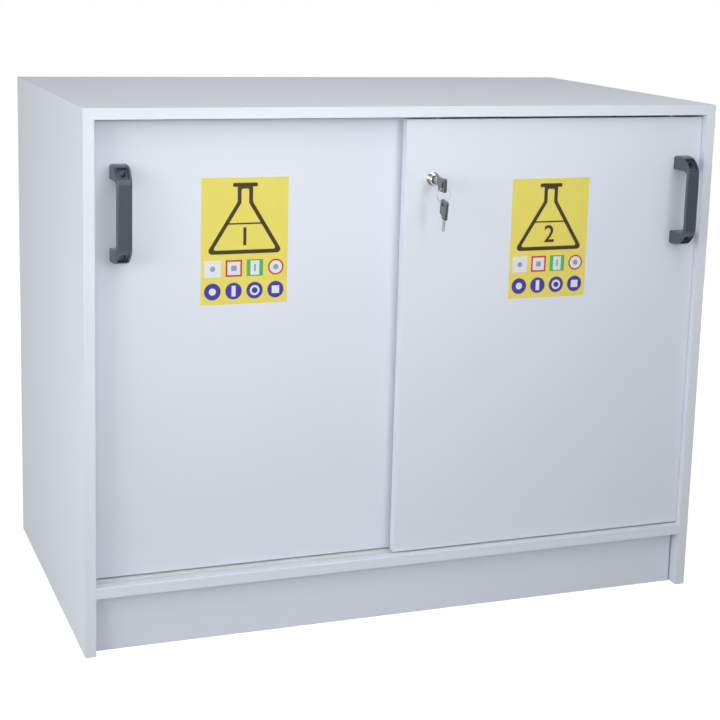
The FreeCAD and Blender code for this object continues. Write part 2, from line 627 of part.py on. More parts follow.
def handle(side):
    """A wide bridge handle, narrower towards its front, with a pocket for a screw in each shoulder."""
    x, y = HANDLE_X[side], DOOR_Y[side]
    half = HANDLE_LENGTH / 2
    shoulder = (SHOULDER_START, half)
    front = (HANDLE_REACH, half - SHOULDER_DROP)
    corners = [(0.0, half), shoulder, front]
    corners += [(reach, -height) for reach, height in reversed(corners)]
    points = [(x - HANDLE_DOOR_WIDTH / 2, y - reach, HANDLE_Z + height) for reach, height in corners]
    solid = extrude(points, (HANDLE_DOOR_WIDTH, 0, 0))
    for (reach, height), radius in ((shoulder, SHOULDER_ROUND), (front, FRONT_ROUND)):
        for sign in (-1, 1):
            place = V(0, y - reach, HANDLE_Z + sign * height)
            edges = edges_along(solid, (1, 0, 0), lambda p: math.hypot(p.y - place.y, p.z - place.z) < 0.01)
            solid = solid.makeFillet(radius, edges)
    solid = solid.common(handle_plan(x, y))

    # All edges of the leaning sides are eased, but for those on the door.
    outside = []
    for edge in solid.Edges:
        middle = edge.CenterOfMass
        reach = y - middle.y
        if abs(abs(middle.x - x) - handle_half_width(reach)) < 0.01 and reach > 0.01:
            outside.append(edge)
    solid = solid.makeFillet(HANDLE_EASE, outside).cut(finger_space(x, y))

    screws = []
    seats = []
    for sign in (-1, 1):
        for space in pocket(x, y, sign):
            solid = solid.cut(space)
        screw, seat = handle_screw(x, y, HANDLE_Z + sign * HANDLE_SCREW_SPACING / 2)
        screws.append(screw)
        seats.append(seat)
    parts[side + "_handle"] = solid.cut(group(seats))
    parts[side + "_handle_screws"] = group(screws)
    return seats


def strike():
    """A steel plate let into the rear door's closing edge, where the lock's bolt bears."""
    x1 = DOOR_X1["left"]
    middle = DOOR_Y["left"] + BOARD / 2
    half_w, half_h = STRIKE_WIDTH / 2, STRIKE_HEIGHT / 2
    plate = box(x1 - STRIKE_THICKNESS, middle - half_w, LOCK_Z - half_h, x1, middle + half_w, LOCK_Z + half_h)
    plate = plate.makeFillet(STRIKE_CORNER, edges_along(plate, (1, 0, 0), lambda p: True))
    offsets = (-STRIKE_SCREW_Z, STRIKE_SCREW_Z)
    places = [((x1, middle, LOCK_Z + dz), (-1, 0, 0), STRIKE_SCREW_LENGTH) for dz in offsets]
    seats = group([screw_seat(*place) for place in places])
    parts["strike_plate"] = plate.cut(seats)
    parts["strike_screws"] = group([countersunk_screw(*place) for place in places])
    return [plate, seats]


# Lock and keys

def coil_spring(run):
    """A round wire wound about +Z from z = 0 to z = run, swept a sixth of a turn at a time."""
    pitch = run / SPRING_TURNS
    path = Part.Wire(Part.makeHelix(pitch, pitch / SPRING_PIECES, SPRING_RADIUS))
    along = V(0, 2 * math.pi * SPRING_RADIUS, pitch)
    section = Part.Wire(Part.makeCircle(SPRING_WIRE / 2, V(SPRING_RADIUS, 0, 0), along))
    piece = path.makePipeShell([section], True, True)
    pieces = []
    for number in range(SPRING_TURNS * SPRING_PIECES):
        copy = piece.copy()
        copy.rotate(V(0, 0, 0), V(0, 0, 1), 360 * number / SPRING_PIECES)
        copy.translate(V(0, 0, pitch * number / SPRING_PIECES))
        pieces.append(copy)
    return pieces[0].multiFuse(pieces[1:])


def lock():
    face = RIGHT_DOOR_Y
    rear = face + BOARD
    barrel_front = face - BARREL_PROUD
    barrel_rear = barrel_front + BARREL_LENGTH

    def along(radius, y0, y1):
        return rod(radius, y1 - y0, (LOCK_X, y0, LOCK_Z), (0, 1, 0))

    sleeve = along(SLEEVE_RADIUS, face - 0.1, rear)
    collar_front = face - COLLAR_THICKNESS
    collar = along(COLLAR_RADIUS, collar_front, face)
    collar = collar.makeFillet(COLLAR_EASE, circles_at(collar, collar_front))
    parts["lock_housing"] = fuse([sleeve, collar]).cut(along(BARREL_RADIUS + BARREL_PLAY, face - 5, rear + 1))

    barrel = along(BARREL_RADIUS, barrel_front, barrel_rear)
    barrel = barrel.makeChamfer(BARREL_CHAMFER, circles_at(barrel, barrel_front))
    bore = along(PLUG_RADIUS + PLUG_PLAY, barrel_front - 1, barrel_front + PLUG_LENGTH + 0.1)
    parts["lock_barrel"] = barrel.cut(bore)
    parts["lock_bolt"] = along(BOLT_RADIUS, barrel_rear, BOLT_TIP)

    cap_back = rear + LOCK_CAP_THICKNESS
    cap = along(LOCK_CAP_RADIUS, rear, cap_back).cut(along(BOLT_RADIUS + BOLT_PLAY, rear - 1, cap_back + 1))
    places = [((LOCK_X, cap_back, LOCK_Z + dz), (0, -1, 0), CAP_SCREW_LENGTH, CAP_SCREW_HEAD, CAP_SCREW_SHANK)
              for dz in (-CAP_SCREW_Z, CAP_SCREW_Z)]
    seats = group([screw_seat(*place) for place in places])
    parts["lock_rear_cap"] = cap.cut(seats)
    parts["lock_cap_screws"] = group([countersunk_screw(*place) for place in places])

    spring = coil_spring(rear - barrel_rear - 2 * SPRING_END_GAP - SPRING_WIRE)
    spring.rotate(V(0, 0, 0), V(1, 0, 0), -90)
    spring.translate(V(LOCK_X, barrel_rear + SPRING_END_GAP + SPRING_WIRE / 2, LOCK_Z))
    parts["lock_spring"] = spring

    plug = along(PLUG_RADIUS, barrel_front - PLUG_PROUD, barrel_front + PLUG_LENGTH)
    half_t = KEY_BLADE_THICKNESS / 2 + KEY_SLOT_PLAY
    half_h = KEY_BLADE_HEIGHT / 2 + KEY_SLOT_PLAY
    slot_end = barrel_front + PLUG_LENGTH - PLUG_REAR_WALL
    slot = box(LOCK_X - half_t, barrel_front - 1, LOCK_Z - half_h, LOCK_X + half_t, slot_end, LOCK_Z + half_h)
    parts["lock_plug"] = plug.cut(slot)
    return [along(SLEEVE_RADIUS, face - 1, rear + 1), seats]


def key_head():
    """The head about the plane x = 0, with its neck's start at y = 0 and the blade's middle at z = 0."""
    neck = KEY_NECK_HEIGHT / 2
    bottom = neck - KEY_BOW_HEIGHT
    inner = -KEY_NECK_LENGTH
    outer = inner - KEY_BOW_LENGTH
    half = KEY_HEAD_THICKNESS / 2
    points = [(0, neck), (outer, neck), (outer, bottom), (inner - KEY_BOTTOM_SLOPE, bottom), (inner, -neck),
              (0, -neck)]
    solid = extrude([(-half, y, z) for y, z in points], (KEY_HEAD_THICKNESS, 0, 0))
    solid = solid.makeFillet(KEY_CORNER, edges_along(solid, (1, 0, 0), lambda p: p.y < outer + 0.01))
    rims = [edge for edge in solid.Edges
            if abs(abs(edge.CenterOfMass.x) - half) < 1e-3 and edge.CenterOfMass.y < -0.01]
    solid = solid.makeFillet(KEY_EASE, rims)

    radius = KEY_HOLE_WIDTH / 2
    hole_y = outer + KEY_HOLE_MARGIN + radius
    run = KEY_HOLE_LENGTH / 2 - radius
    low, high = -KEY_BOW_DROP - run, -KEY_BOW_DROP + run
    hole = [box(-half - 1, hole_y - radius, low, half + 1, hole_y + radius, high)]
    for z in (low, high):
        hole.append(rod(radius, KEY_HEAD_THICKNESS + 2, (-half - 1, hole_y, z), (1, 0, 0)))
    return solid.cut(fuse(hole))


def key_blade():
    """The blade in the same place as key_head, from inside the head to its tip."""
    half = KEY_BLADE_HEIGHT / 2
    tip = KEY_BLADE_LENGTH
    points = [(-KEY_BLADE_TANG, -half), (-KEY_BLADE_TANG, half), (tip - KEY_TIP_TOP, half)]
    points += [(tip, KEY_TIP_HIGH), (tip, KEY_TIP_LOW), (tip - KEY_TIP_BOTTOM, -half)]
    for number, depth in enumerate(KEY_CUTS):
        middle = tip - KEY_FIRST_CUT - number * KEY_CUT_PITCH
        reach = KEY_CUT_WIDTH / 2
        points += [(middle + reach, -half), (middle, -half + depth), (middle - reach, -half)]
    return extrude([(-KEY_BLADE_THICKNESS / 2, y, z) for y, z in points], (KEY_BLADE_THICKNESS, 0, 0))


def keys():
    face = RIGHT_DOOR_Y
    start = V(LOCK_X, face - KEY_NECK_START, LOCK_Z)
    head, blade = key_head(), key_blade()
    parts["key_head"] = head.cut(blade).translated(start)
    parts["key_blade"] = blade.translated(start)

    outer_y = start.y - KEY_NECK_LENGTH - KEY_BOW_LENGTH
    ring_y = outer_y + KEY_HOLE_MARGIN + KEY_HOLE_WIDTH / 2
    bow_bottom = LOCK_Z - KEY_BOW_DROP - KEY_BOW_HEIGHT / 2
    hole_bottom = LOCK_Z - KEY_BOW_DROP - KEY_HOLE_LENGTH / 2
    bar_z = (bow_bottom + hole_bottom) / 2
    ring_z = bar_z - RING_HANG
    parts["key_ring"] = Part.makeTorus(RING_RADIUS, RING_WIRE, V(LOCK_X, ring_y, ring_z), V(0, 1, 0))

    # The spare key hangs from the lowest point of the ring, head up: its -y is turned up and its +z to -y.
    pivot = V(LOCK_X, ring_y, ring_z - RING_RADIUS)
    hang = V(pivot.x, pivot.y - SPARE_OFFSET - KEY_BOW_DROP,
             pivot.z + SPARE_CLEARANCE - KEY_NECK_LENGTH - KEY_BOW_LENGTH + KEY_HOLE_MARGIN)
    for name, shape in (("spare_key_head", head.cut(blade)), ("spare_key_blade", blade)):
        hung = shape.copy()
        hung.rotate(V(0, 0, 0), V(1, 0, 0), -90)
        hung.rotate(V(0, 0, 0), V(0, 0, 1), 180)
        hung.translate(hang)
        hung.rotate(pivot, V(1, 0, 0), SPARE_TILT)
        parts[name] = hung
    print("ring bar z %.3f, ring y %.3f, ring z %.3f, spare pivot z %.3f" % (bar_z, ring_y, ring_z, pivot.z))


def build():
    carcass(carcass_fittings())
    plinth_blocks()
    shelves()
    trays()
    tracks()
    left_seats = handle("left")
    right_seats = handle("right")
    strike_seats = strike()
    lock_seats = lock()
    door("left", left_seats + strike_seats)
    door("right", right_seats + lock_seats)
    keys()


build()
whole = Part.makeCompound(list(parts.values())).BoundBox
shift = -(whole.YMin + whole.YMax) / 2
print("whole box x %.3f %.3f y %.3f %.3f z %.3f %.3f shift %.4f"
      % (whole.XMin, whole.XMax, whole.YMin, whole.YMax, whole.ZMin, whole.ZMax, shift))
os.makedirs("parts", exist_ok=True)
for name, shape in parts.items():
    moved = shape.translated(V(0, shift, 0))
    if not moved.isValid():
        print("not valid:", name)
    moved.exportStep("parts/%s.step" % name)
print(len(parts), "nodes,", sum(len(shape.Solids) for shape in parts.values()), "solids")
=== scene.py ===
# A low white cabinet with two overlapping sliding doors. Metres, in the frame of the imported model:
# +X is to the right of someone facing the doors, +Y goes to the back, +Z is up, and the floor is at z = 0.

import json
import math

import bpy
from mathutils import Matrix, Vector


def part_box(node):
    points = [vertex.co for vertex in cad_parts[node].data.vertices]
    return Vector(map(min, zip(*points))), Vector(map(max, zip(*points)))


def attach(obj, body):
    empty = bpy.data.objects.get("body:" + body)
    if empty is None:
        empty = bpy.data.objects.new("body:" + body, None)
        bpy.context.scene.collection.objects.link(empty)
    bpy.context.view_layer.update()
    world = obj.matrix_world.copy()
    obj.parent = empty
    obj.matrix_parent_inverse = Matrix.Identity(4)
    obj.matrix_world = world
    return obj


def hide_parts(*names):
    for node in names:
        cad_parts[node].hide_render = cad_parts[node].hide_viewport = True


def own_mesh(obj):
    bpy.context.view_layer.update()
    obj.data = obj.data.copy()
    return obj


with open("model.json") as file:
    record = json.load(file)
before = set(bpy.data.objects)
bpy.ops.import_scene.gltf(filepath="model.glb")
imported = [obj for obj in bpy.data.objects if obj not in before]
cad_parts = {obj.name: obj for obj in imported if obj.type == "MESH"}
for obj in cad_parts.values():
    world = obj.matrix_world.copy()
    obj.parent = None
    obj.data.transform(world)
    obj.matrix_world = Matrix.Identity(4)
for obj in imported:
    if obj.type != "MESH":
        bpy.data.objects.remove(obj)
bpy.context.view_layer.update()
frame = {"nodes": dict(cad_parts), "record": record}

MM = 0.001
PHOTO_SIZE = 720           # pixels along each side of the photograph
SENSOR = 36.0              # millimetres

# Camera
CAMERA_PLACE = (-1.039, -2.7676, 1.133)
CAMERA_TURN = (79.07, -1.59, -20.66)    # degrees
FOCAL_PIXELS = 1617.0
PRINCIPAL_POINT = (366.3, 273.6)

# Lamps: place, what they point at, size, spread in degrees, strength in watts
FRONT = (0.0, -0.28, 0.5)
TOP = (0.0, 0.0, 0.9)
LAMPS = {
    "key": ((0.9, -3.1, 1.7), (-0.1, -0.28, 1.0), 0.7, 45.0, 1.25),
    "up_left": ((-0.9, -2.6, 1.0), (-0.35, -0.28, 0.88), 0.8, 50.0, 0.9),
    "front": ((-1.6, -2.6, 1.3), FRONT, 1.2, 180.0, 3.5),
    "left_front": ((-3.0, -2.0, 1.5), FRONT, 1.4, 180.0, 30.0),
    "side": ((-2.5, -0.6, 0.8), (-0.57, -0.42, 0.52), 0.9, 45.0, 0.7),
    "overhead": ((0.1, -1.15, 2.2), TOP, 1.5, 180.0, 12.0),
    "right_fill": ((2.7, 1.8, 0.45), (0.57, 0.0, 0.5), 1.0, 180.0, 27.0),
    "back_fill": ((0.6, 2.9, 0.45), (0.0, 0.35, 0.5), 1.0, 180.0, 24.0),
}
LAMP_COLOUR = (0.96, 1.0, 0.98)    # linear red, green and blue

# How bright the surroundings are as light and in reflections. The groups of four are where a change starts
# and ends, as a rise or a place, and the brightness at both.
AMBIENT = 0.78
CEILING = (0.05, 0.5, 1.0, 0.4)
FRONT_SIDE = (-0.6, 0.0, 0.45, 1.0)
FLOOR_ALBEDO = 0.45
FLOOR_FRONT = (-2.2, -0.6, 0.15, 0.75)
FLOOR_LIFT = 0.85          # extra brightness of the floor for the camera alone
FLOOR_HALF = 30.0
FAR = 100.0                # where the camera stops seeing

# Colours, written as they look on a screen, 0 to 255
BOARD = (225, 228, 240)
BAND = (227, 230, 242)
WHITE_PLASTIC = (224, 226, 230)
TRAY_PLASTIC = (205, 210, 214)
BLOCK_PLASTIC = (214, 214, 212)
NATURAL_NYLON = (216, 215, 208)
DARK_NYLON = (55, 60, 75)
KEY_PLASTIC = (46, 48, 60)
ZINC = (172, 173, 175)
DARK_ZINC = (96, 98, 102)
BLACK_OXIDE = (98, 102, 114)
RING_WIRE = (210, 212, 218)
STEEL = (196, 197, 200)
CHROME = (212, 205, 202)
NICKEL = (205, 202, 194)
BEECH = (201, 164, 116)
VINYL_YELLOW = (233, 217, 104)
INK_COLOURS = {
    "dark": (66, 54, 32),
    "white": (226, 229, 236),
    "grey": (150, 158, 176),
    "red": (208, 58, 66),
    "green": (88, 178, 98),
    "blue": (66, 58, 158),
}

LOCK_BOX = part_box("lock_plug")
# The lock's axis runs from front to back. This is where it is, across and up.
LOCK_AXIS = ((LOCK_BOX[0].x + LOCK_BOX[1].x) / 2, (LOCK_BOX[0].z + LOCK_BOX[1].z) / 2)


def linear(colour):
    """A screen colour as the linear red, green, blue and alpha that Blender's sockets take."""
    parts = []
    for value in colour:
        value = value / 255.0
        parts.append(value / 12.92 if value <= 0.04045 else ((value + 0.055) / 1.055) ** 2.4)
    return (*parts, 1.0)


def shade(colour, factor):
    """A screen colour made darker or lighter."""
    return (*[min(1.0, channel * factor) for channel in linear(colour)[:3]], 1.0)


# Materials. Distances are in metres, and a larger scale is a finer texture.

MIX_FACTOR = 0             # sockets of a Mix node that blends two colours
MIX_COLOURS = (6, 7)
MIX_RESULT = 2
RING_WOBBLE = 0.6
GLOSS_GRAIN = 0.3          # scale of the uneven gloss against the surface's grain
GLOSS_SPREAD = 0.04
PIT_SCALE = 1.6            # scale of a mould's pits against the grain
COAT_ROUGHNESS = 0.18


class Shader:
    """A material with its nodes, and short ways to add the usual ones."""

    def __init__(self, name, roughness, metallic=0.0, specular=0.5):
        self.material = bpy.data.materials.new(name)
        self.material.use_nodes = True
        self.nodes = self.material.node_tree.nodes
        self.links = self.material.node_tree.links
        self.surface = self.nodes["Principled BSDF"]
        self.surface.inputs["Roughness"].default_value = roughness
        self.surface.inputs["Metallic"].default_value = metallic
        self.surface.inputs["Specular IOR Level"].default_value = specular
        self.place = self.nodes.new("ShaderNodeTexCoord").outputs["Object"]

    def mapped(self, scale=(1, 1, 1), offset=(0, 0, 0)):
        node = self.nodes.new("ShaderNodeMapping")
        node.inputs["Scale"].default_value = scale
        node.inputs["Location"].default_value = offset
        self.links.new(self.place, node.inputs["Vector"])
        return node.outputs["Vector"]

    def noise(self, scale, detail=3.0, where=None):
        node = self.nodes.new("ShaderNodeTexNoise")
        node.inputs["Scale"].default_value = scale
        node.inputs["Detail"].default_value = detail
        self.links.new(where or self.place, node.inputs["Vector"])
        return node.outputs["Fac"]

    def cells(self, scale):
        node = self.nodes.new("ShaderNodeTexVoronoi")
        node.inputs["Scale"].default_value = scale
        self.links.new(self.place, node.inputs["Vector"])
        return node.outputs["Distance"]

    def rings(self, scale, axis, centre):
        """Fine turned rings about an axis through the centre."""
        node = self.nodes.new("ShaderNodeTexWave")
        node.wave_type = "RINGS"
        node.rings_direction = axis
        node.inputs["Scale"].default_value = scale
        node.inputs["Distortion"].default_value = RING_WOBBLE
        self.links.new(self.mapped(offset=tuple(-c for c in centre)), node.inputs["Vector"])
        return node.outputs["Fac"]

    def ranged(self, value, low, high, start=0.3, end=0.7):
        node = self.nodes.new("ShaderNodeMapRange")
        node.inputs["From Min"].default_value = start
        node.inputs["From Max"].default_value = end
        node.inputs["To Min"].default_value = low
        node.inputs["To Max"].default_value = high
        self.links.new(value, node.inputs["Value"])
        return node.outputs["Result"]

    def blended(self, factor, first, second):
        node = self.nodes.new("ShaderNodeMix")
        node.data_type = "RGBA"
        for socket, colour in zip(MIX_COLOURS, (first, second)):
            node.inputs[socket].default_value = colour
        self.links.new(factor, node.inputs[MIX_FACTOR])
        return node.outputs[MIX_RESULT]

    def colour(self, source):
        self.links.new(source, self.surface.inputs["Base Color"])

    def roughness(self, source):
        self.links.new(source, self.surface.inputs["Roughness"])

    def bump(self, source, depth, strength=1.0):
        node = self.nodes.new("ShaderNodeBump")
        node.inputs["Strength"].default_value = strength
        node.inputs["Distance"].default_value = depth
        if self.surface.inputs["Normal"].is_linked:
            earlier = self.surface.inputs["Normal"].links[0].from_socket
            self.links.new(earlier, node.inputs["Normal"])
        self.links.new(source, node.inputs["Height"])
        self.links.new(node.outputs["Normal"], self.surface.inputs["Normal"])


def mottled(name, colour, roughness, spread=0.03, cloud=5.0, grain=900.0, depth=0.00002, **more):
    """The base of most materials: a colour in soft clouds, an uneven gloss and a fine grain."""
    shader = Shader(name, roughness, **more)
    clouds = shader.ranged(shader.noise(cloud, detail=4.0), 0.0, 1.0)
    shader.colour(shader.blended(clouds, shade(colour, 1 - spread), shade(colour, 1 + spread)))
    gloss = shader.noise(grain * GLOSS_GRAIN)
    shader.roughness(shader.ranged(gloss, roughness - GLOSS_SPREAD, roughness + GLOSS_SPREAD))
    shader.bump(shader.noise(grain, detail=2.0), depth)
    return shader


def melamine(name, colour):
    """Board faced with melamine: a pearl texture about a millimetre across under a soft gloss."""
    shader = mottled(name, colour, roughness=0.42, spread=0.008, cloud=2.5, grain=1400.0, specular=0.4)
    pearls = shader.ranged(shader.cells(scale=700.0), low=1.0, high=0.0, start=0.0, end=0.9)
    shader.bump(pearls, depth=0.00003, strength=0.5)
    return shader.material


def edge_band():
    """A plastic strip glued to a board's edge, with faint marks of the scraper."""
    shader = mottled("edge_band", BAND, roughness=0.44, spread=0.006, cloud=8.0, grain=700.0, specular=0.35)
    marks = shader.noise(60.0, detail=2.0, where=shader.mapped(scale=(1, 12, 1)))
    shader.bump(marks, depth=0.00004, strength=0.4)
    return shader.material


def moulded(name, colour, roughness, grain=1100.0, depth=0.00004, spread=0.03, specular=0.5, coat=0.0):
    """Plastic with the fine spark-eroded grain of its mould. A coat is the gloss of handled plastic."""
    shader = mottled(name, colour, roughness, spread, cloud=30.0, grain=grain, depth=depth, specular=specular)
    shader.surface.inputs["Coat Weight"].default_value = coat
    shader.surface.inputs["Coat Roughness"].default_value = COAT_ROUGHNESS
    shader.bump(shader.cells(grain * PIT_SCALE), depth, strength=0.6)
    return shader.material


def brushed(name, colour, roughness):
    """Metal with fine drawn marks that run sideways."""
    shader = Shader(name, roughness, metallic=1.0)
    marks = shader.noise(600.0, where=shader.mapped(scale=(1, 1, 40)))
    clouds = shader.ranged(shader.noise(90.0), 0.0, 1.0)
    shader.colour(shader.blended(clouds, shade(colour, 0.93), shade(colour, 1.05)))
    shader.roughness(shader.ranged(marks, roughness - 0.06, roughness + 0.08))
    shader.bump(marks, depth=0.00001, strength=0.6)
    return shader.material


def turned(name, colour, roughness):
    """Lathe-turned metal about the lock's axis."""
    shader = Shader(name, roughness, metallic=1.0)
    rings = shader.rings(900.0, "Y", (LOCK_AXIS[0], 0.0, LOCK_AXIS[1]))
    clouds = shader.ranged(shader.noise(140.0), 0.0, 1.0)
    shader.colour(shader.blended(clouds, shade(colour, 0.94), shade(colour, 1.04)))
    shader.roughness(shader.ranged(rings, roughness, roughness + 0.06, start=0.0, end=1.0))
    shader.bump(rings, depth=0.000004, strength=0.5)
    return shader.material


def beech():
    """Wood of the dowels."""
    shader = Shader("beech", roughness=0.6)
    grain = shader.noise(220.0, detail=4.0, where=shader.mapped(scale=(1, 1, 0.15)))
    shader.colour(shader.blended(shader.ranged(grain, 0.0, 1.0), shade(BEECH, 0.82), shade(BEECH, 1.06)))
    shader.bump(grain, depth=0.0001, strength=0.6)
    return shader.material


def printed(name, colour):
    """Printed vinyl: a faint unevenness of the ink and a soft orange peel in its gloss."""
    shader = mottled(name, colour, roughness=0.34, spread=0.02, cloud=18.0, grain=500.0)
    shader.bump(shader.noise(45.0, detail=2.0), depth=0.0002, strength=0.3)
    return shader.material


SLOT_MATERIALS = {
    "board": melamine("board_melamine", BOARD),
    "door_board": melamine("door_melamine", BOARD),
    "edge_band": edge_band(),
    "track_plastic": moulded("track_plastic", WHITE_PLASTIC, 0.4, grain=600.0, depth=0.00002),
    "tray_plastic": moulded("tray_plastic", TRAY_PLASTIC, 0.45),
    "block_plastic": moulded("block_plastic", BLOCK_PLASTIC, 0.5),
    "fitting_zinc": brushed("fitting_zinc", ZINC, 0.38),
    "beech": beech(),
    "screw_steel": brushed("screw_steel", DARK_ZINC, 0.34),
    "axle_steel": brushed("axle_steel", STEEL, 0.25),
    "roller_nylon": moulded("roller_nylon", NATURAL_NYLON, 0.4),
    "handle_nylon": moulded("handle_nylon", DARK_NYLON, 0.4, grain=900.0, depth=0.00006, spread=0.05,
                            specular=0.8, coat=0.4),
    "label_vinyl": printed("label_vinyl", VINYL_YELLOW),
    "lock_chrome": turned("lock_chrome", CHROME, 0.15),
    "lock_steel": brushed("lock_steel", STEEL, 0.28),
    "lock_nickel": turned("lock_nickel", NICKEL, 0.22),
    "key_steel": brushed("key_steel", STEEL, 0.24),
    "key_plastic": moulded("key_plastic", KEY_PLASTIC, 0.32, grain=1500.0, depth=0.00003,
                           specular=1.0, coat=0.85),
}

BLACK_SCREW = brushed("black_oxide_screw", BLACK_OXIDE, 0.45)
NODE_MATERIALS = {
    "left_handle_screws": BLACK_SCREW,
    "right_handle_screws": BLACK_SCREW,
    "key_ring": brushed("ring_wire", RING_WIRE, 0.32),
}
INKS = {name: printed("ink_" + name, colour) for name, colour in INK_COLOURS.items()}


def dress_nodes():
    """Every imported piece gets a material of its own, or else the material of its slot."""
    for part in frame["record"]["subparts"]:
        name = part["node"]
        for slot in frame["nodes"][name].material_slots:
            slot.material = NODE_MATERIALS.get(name) or SLOT_MATERIALS[part["material_slot"]]


BANDS = ("carcass_edge_bands", "left_door_edge_band", "right_door_edge_band", "inner_edge_bands")
BAND_EASE = 0.00025
HANDLES = ("left_handle", "right_handle")
HANDLE_EASE = 0.0005
EASE_ANGLE = 35.0          # degrees, edges that turn by less stay as they are
EASE_STEPS = 2
WELD_DISTANCE = 0.00001


def ease(names, width):
    """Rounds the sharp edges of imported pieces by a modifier, as saws, cutters and moulds leave them."""
    for name in names:
        node = frame["nodes"][name]
        weld = node.modifiers.new("weld", "WELD")
        weld.merge_threshold = WELD_DISTANCE
        bevel = node.modifiers.new("ease", "BEVEL")
        bevel.width = width
        bevel.segments = EASE_STEPS
        bevel.limit_method = "ANGLE"
        bevel.angle_limit = math.radians(EASE_ANGLE)
        bevel.harden_normals = True


def meshed(name, data, place=Matrix()):
    """A new object with the mesh of a curve or text, moved to its place."""
    maker = bpy.data.objects.new(name, data)
    bpy.context.scene.collection.objects.link(maker)
    bpy.context.view_layer.update()
    graph = bpy.context.evaluated_depsgraph_get()
    mesh = bpy.data.meshes.new_from_object(maker.evaluated_get(graph))
    bpy.data.objects.remove(maker)
    mesh.transform(place)
    mesh.materials.clear()
    piece = bpy.data.objects.new(name, mesh)
    bpy.context.scene.collection.objects.link(piece)
    return piece


# The lock's spring shortens as the barrel is pushed in. The scene draws a spring of its own in place of the
# imported one, here at its length at rest.

SPRING_WIRE = 0.8          # millimetres
SPRING_TURNS = 2
SPRING_STEPS = 32          # per turn


def make_spring():
    """A wire wound round the lock's axis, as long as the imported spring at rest."""
    low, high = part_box("lock_spring")
    middle = (low + high) / 2
    radius = (high.x - low.x - SPRING_WIRE * MM) / 2
    run = high.y - low.y - SPRING_WIRE * MM
    count = SPRING_TURNS * SPRING_STEPS
    data = bpy.data.curves.new("lock_coil", "CURVE")
    data.dimensions = "3D"
    data.bevel_depth = SPRING_WIRE * MM / 2
    data.bevel_resolution = 3
    data.use_fill_caps = True
    spline = data.splines.new("POLY")
    spline.points.add(count)
    for step, point in enumerate(spline.points):
        angle = 2 * math.pi * step / SPRING_STEPS
        across, up = radius * math.cos(angle), -radius * math.sin(angle)
        along = low.y + SPRING_WIRE * MM / 2 + run * step / count
        point.co = (middle.x + across, along, middle.z + up, 1.0)
    spring = meshed("lock_coil", data)
    spring.data.materials.append(SLOT_MATERIALS["lock_steel"])
    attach(spring, "right_door")
    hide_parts("lock_spring")
    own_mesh(spring)


# Labels. Their print is drawn in millimetres from the label's lower left corner.

TILE = 28.0
COLUMNS = 4
COLUMN_PITCH = 36.0
TILE_ROW = 60.0
DISC_ROW = 22.0
TILE_CORNER = 0.8
INK = 0.04                 # thickness of one printed layer
STROKE = 6.5
FLASK_CORNER = 6.0
FLASK_BASE = 66.0          # half widths, and heights
FLASK_NECK = 13.0
FLASK_LOW = 84.0
FLASK_SHOULDER = 170.0
FLASK_TOP = 198.0
RIM_WIDTH = 42.0
LEVEL = 134.0              # of the liquid
LEVEL_WIDTH = 62.0
LEVEL_THICKNESS = 2.5
NUMBER_HEIGHT = 42.0
NUMBER_MIDDLE = 111.0
NUMBER_BOLDNESS = 0.012    # how far its outline is moved out, as a share of its height
STRAIGHT = 1e-3            # a corner that turns by less, in radians, is left as it is
LEAST_MITRE = 0.2          # keeps the inset of a sharp corner short
LEAST_CORNER = 0.5

# Marks on the tiles and discs: the radius of a round one, the width and height of one with four sides
DISC_EDGE = 0.5            # a red disc is smaller than its tile by this
DISC_RIM = 3.2
RED_WINDOW = (22.0, 22.0)
GREEN_WINDOW = (15.0, 24.0)
WHITE_DOT = 6.0
WHITE_BAR = (7.0, 18.0)
WHITE_RING = (8.5, 5.0)    # outer and inner radius
WHITE_SQUARE = (13.0, 13.0)
GREY_DOT = 4.5
GREY_SQUARE = (9.0, 9.0)
GREY_BAR = (3.0, 12.0)


def circle(centre, radius, steps=48):
    """The outline of a circle."""
    angles = [math.radians(360 * step / steps) for step in range(steps)]
    return [(centre[0] + radius * math.cos(angle), centre[1] + radius * math.sin(angle)) for angle in angles]


def rectangle(centre, width, height):
    """The outline of a rectangle, anticlockwise from its lower left corner."""
    x, y = centre
    return [(x - width / 2, y - height / 2), (x + width / 2, y - height / 2),
            (x + width / 2, y + height / 2), (x - width / 2, y + height / 2)]


def corners(points):
    """Each point of an outline with the one before it and the one after it."""
    for index, here in enumerate(points):
        after = points[(index + 1) % len(points)]
        yield Vector(points[index - 1]), Vector(here), Vector(after)


def inset(points, distance):
    """The outline moved inwards by a distance. The points go round anticlockwise."""
    moved = []
    for before, here, after in corners(points):
        first, second = (here - before).normalized(), (after - here).normalized()
        across = Vector((-first.y - second.y, first.x + second.x)).normalized()
        reach = distance / max(LEAST_MITRE, across.dot(Vector((-first.y, first.x))))
        moved.append(tuple(here + across * reach))
    return moved


def rounded(points, radius, steps=8):
    """The outline with each corner replaced by an arc."""
    smooth = []
    for before, here, after in corners(points):
        into, out = (here - before).normalized(), (after - here).normalized()
        turn = into.angle_signed(out)
        if abs(turn) < STRAIGHT:
            smooth.append(tuple(here))
            continue
        back = radius * math.tan(abs(turn) / 2)
        side = -1 if turn > 0 else 1
        normal = Vector((-into.y, into.x)) * side
        centre = here - into * back + normal * radius
        start = (here - into * back) - centre
        for step in range(steps + 1):
            spin = Matrix.Rotation(-turn * step / steps, 2)
            smooth.append(tuple(centre + spin @ start))
    return smooth


def stroke(points, radius):
    """A line of the print's usual width round the inside of an outline, with rounded corners."""
    inner = rounded(inset(points, STROKE), max(LEAST_CORNER, radius - STROKE / 2))
    return [rounded(points, radius), inner]


def flask(middle):
    """The outline of a plain conical flask."""
    right = [(FLASK_BASE, FLASK_LOW), (FLASK_NECK, FLASK_SHOULDER), (FLASK_NECK, FLASK_TOP)]
    left = [(-across, up) for across, up in reversed(right)]
    return [(middle + across, up) for across, up in right + left]


